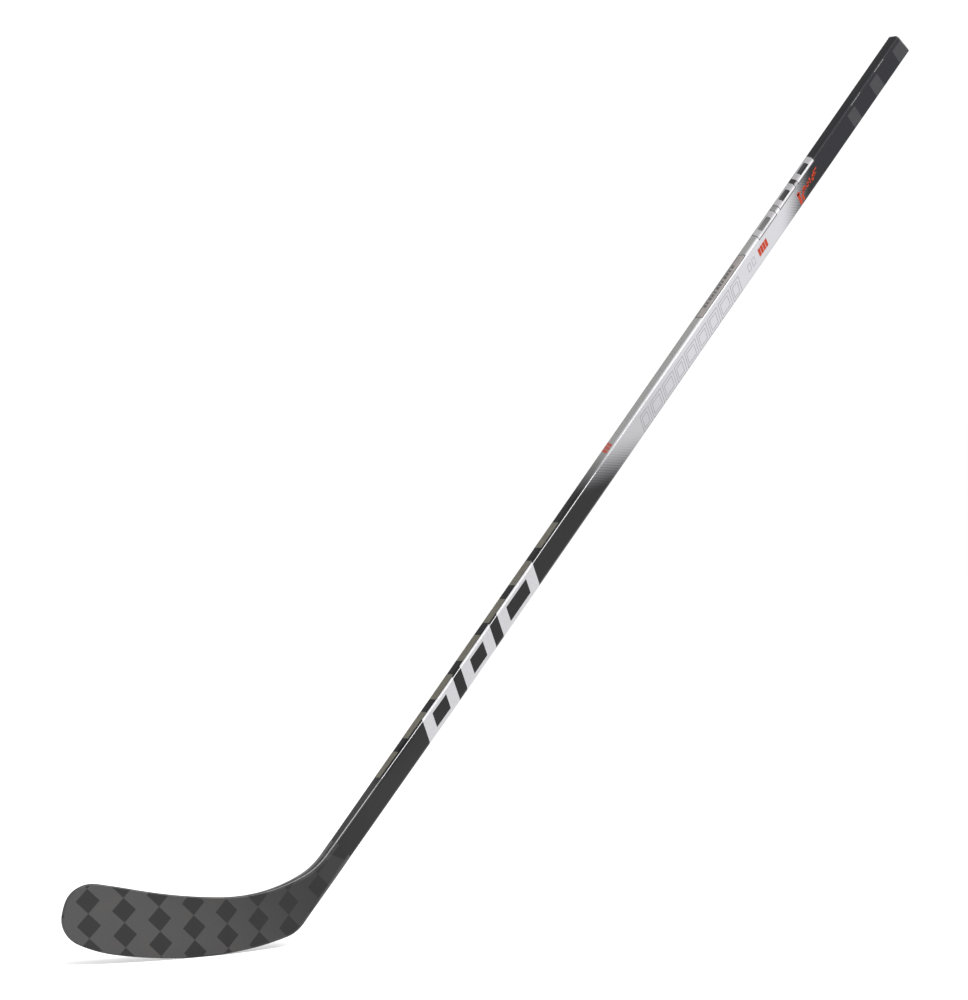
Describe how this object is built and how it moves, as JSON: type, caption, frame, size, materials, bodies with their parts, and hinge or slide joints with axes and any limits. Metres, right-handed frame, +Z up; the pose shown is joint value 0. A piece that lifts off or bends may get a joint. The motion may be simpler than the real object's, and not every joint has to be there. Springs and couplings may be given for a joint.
{
  "type": "ice hockey stick",
  "caption": "One-piece composite ice hockey stick: hollow rectangular shaft, flared hosel and curved foam-cored blade, standing on the ice at its lie angle.",
  "frame": {"origin": "the point of the blade's rockered bottom edge that touches the ice, midway through the blade's thickness", "axes": "+Z up from the ice; +X along the ice from the blade's toe towards the raised shaft; +Y towards the hollow, forehand side of the blade's curve"},
  "size_m": [1.3507, 0.0744, 1.1303],
  "materials": {
    "black_weave": "satin clear coat over woven carbon, with a silver painted stretch",
    "inner_laminate": "bare moulded carbon laminate",
    "end_plug": "moulded black rubber, matte",
    "glue": "cured adhesive",
    "label_film": "printed film, satin",
    "hosel_wrap": "satin clear coat over woven carbon",
    "foam": "closed-cell foam",
    "tenon_laminate": "bare moulded carbon laminate",
    "blade_weave": "spread-tow carbon in a diamond pattern under satin clear coat",
    "rib_laminate": "bare carbon laminate",
    "toe_foam": "denser closed-cell foam",
    "edge_band": "satin carbon edge plies"
  },
  "bodies": {
    "root": {"shaft_outer_weave": "black_weave", "shaft_inner_laminate": "inner_laminate", "butt_end_plug": "end_plug", "plug_glue_film": "glue", "shaft_label": "label_film", "hosel_overwrap": "hosel_wrap", "hosel_foam_core": "foam", "blade_tenon": "tenon_laminate", "tenon_bond_film": "glue", "blade_backhand_skin": "blade_weave", "blade_forehand_skin": "blade_weave", "blade_core_upper": "foam", "blade_rib": "rib_laminate", "blade_core_lower": "foam", "blade_toe_core": "toe_foam", "blade_edge_band": "edge_band"}
  },
  "joints": []
}
